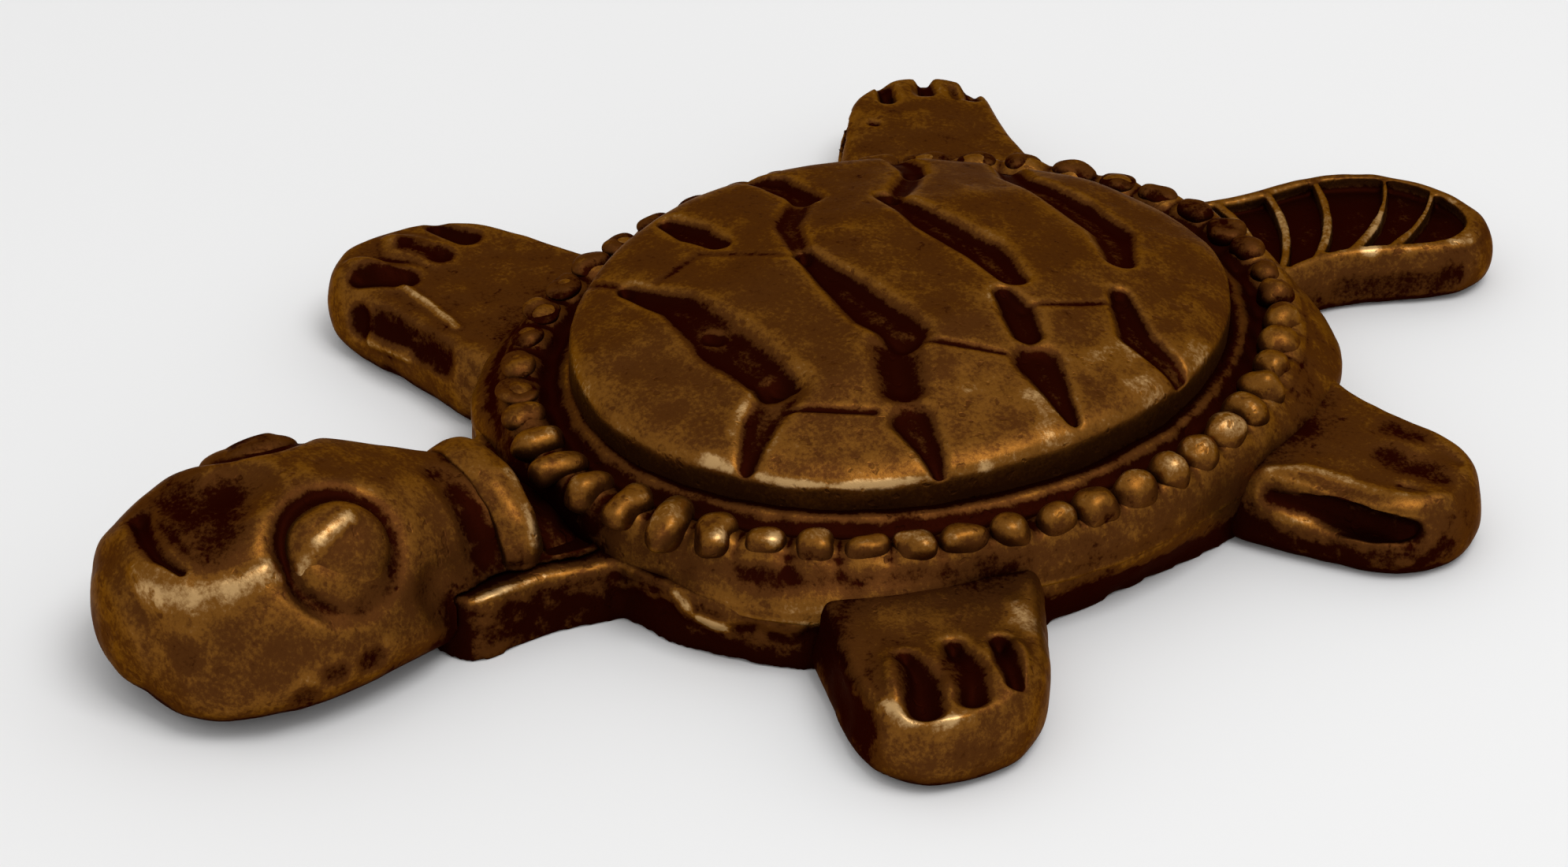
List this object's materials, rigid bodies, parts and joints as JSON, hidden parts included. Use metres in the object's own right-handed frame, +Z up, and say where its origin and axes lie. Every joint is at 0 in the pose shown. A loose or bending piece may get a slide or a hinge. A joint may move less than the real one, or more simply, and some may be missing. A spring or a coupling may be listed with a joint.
{
  "type": "turtle figurine",
  "caption": "Small flat cast brass turtle with a carved oval shell, beaded rim, splayed legs, paddle tail and raised eyes, lying flat as a table ornament.",
  "frame": {"origin": "on the table, under the middle of the turtle's overall box", "axes": "-Y towards the snout, +X to the turtle's left side, +Z up"},
  "size_m": [0.054, 0.0802, 0.0101],
  "materials": {
    "cast_brass": "dark brown patina worn to golden brass on the high places"
  },
  "bodies": {
    "root": {"base_slab": "cast_brass", "shell_rim": "cast_brass", "rim_beads": "cast_brass", "carapace": "cast_brass", "head": "cast_brass", "neck_collar": "cast_brass", "left_eye": "cast_brass", "right_eye": "cast_brass", "left_foreleg": "cast_brass", "right_foreleg": "cast_brass", "left_hind_leg": "cast_brass", "right_hind_leg": "cast_brass", "tail": "cast_brass"}
  },
  "joints": []
}
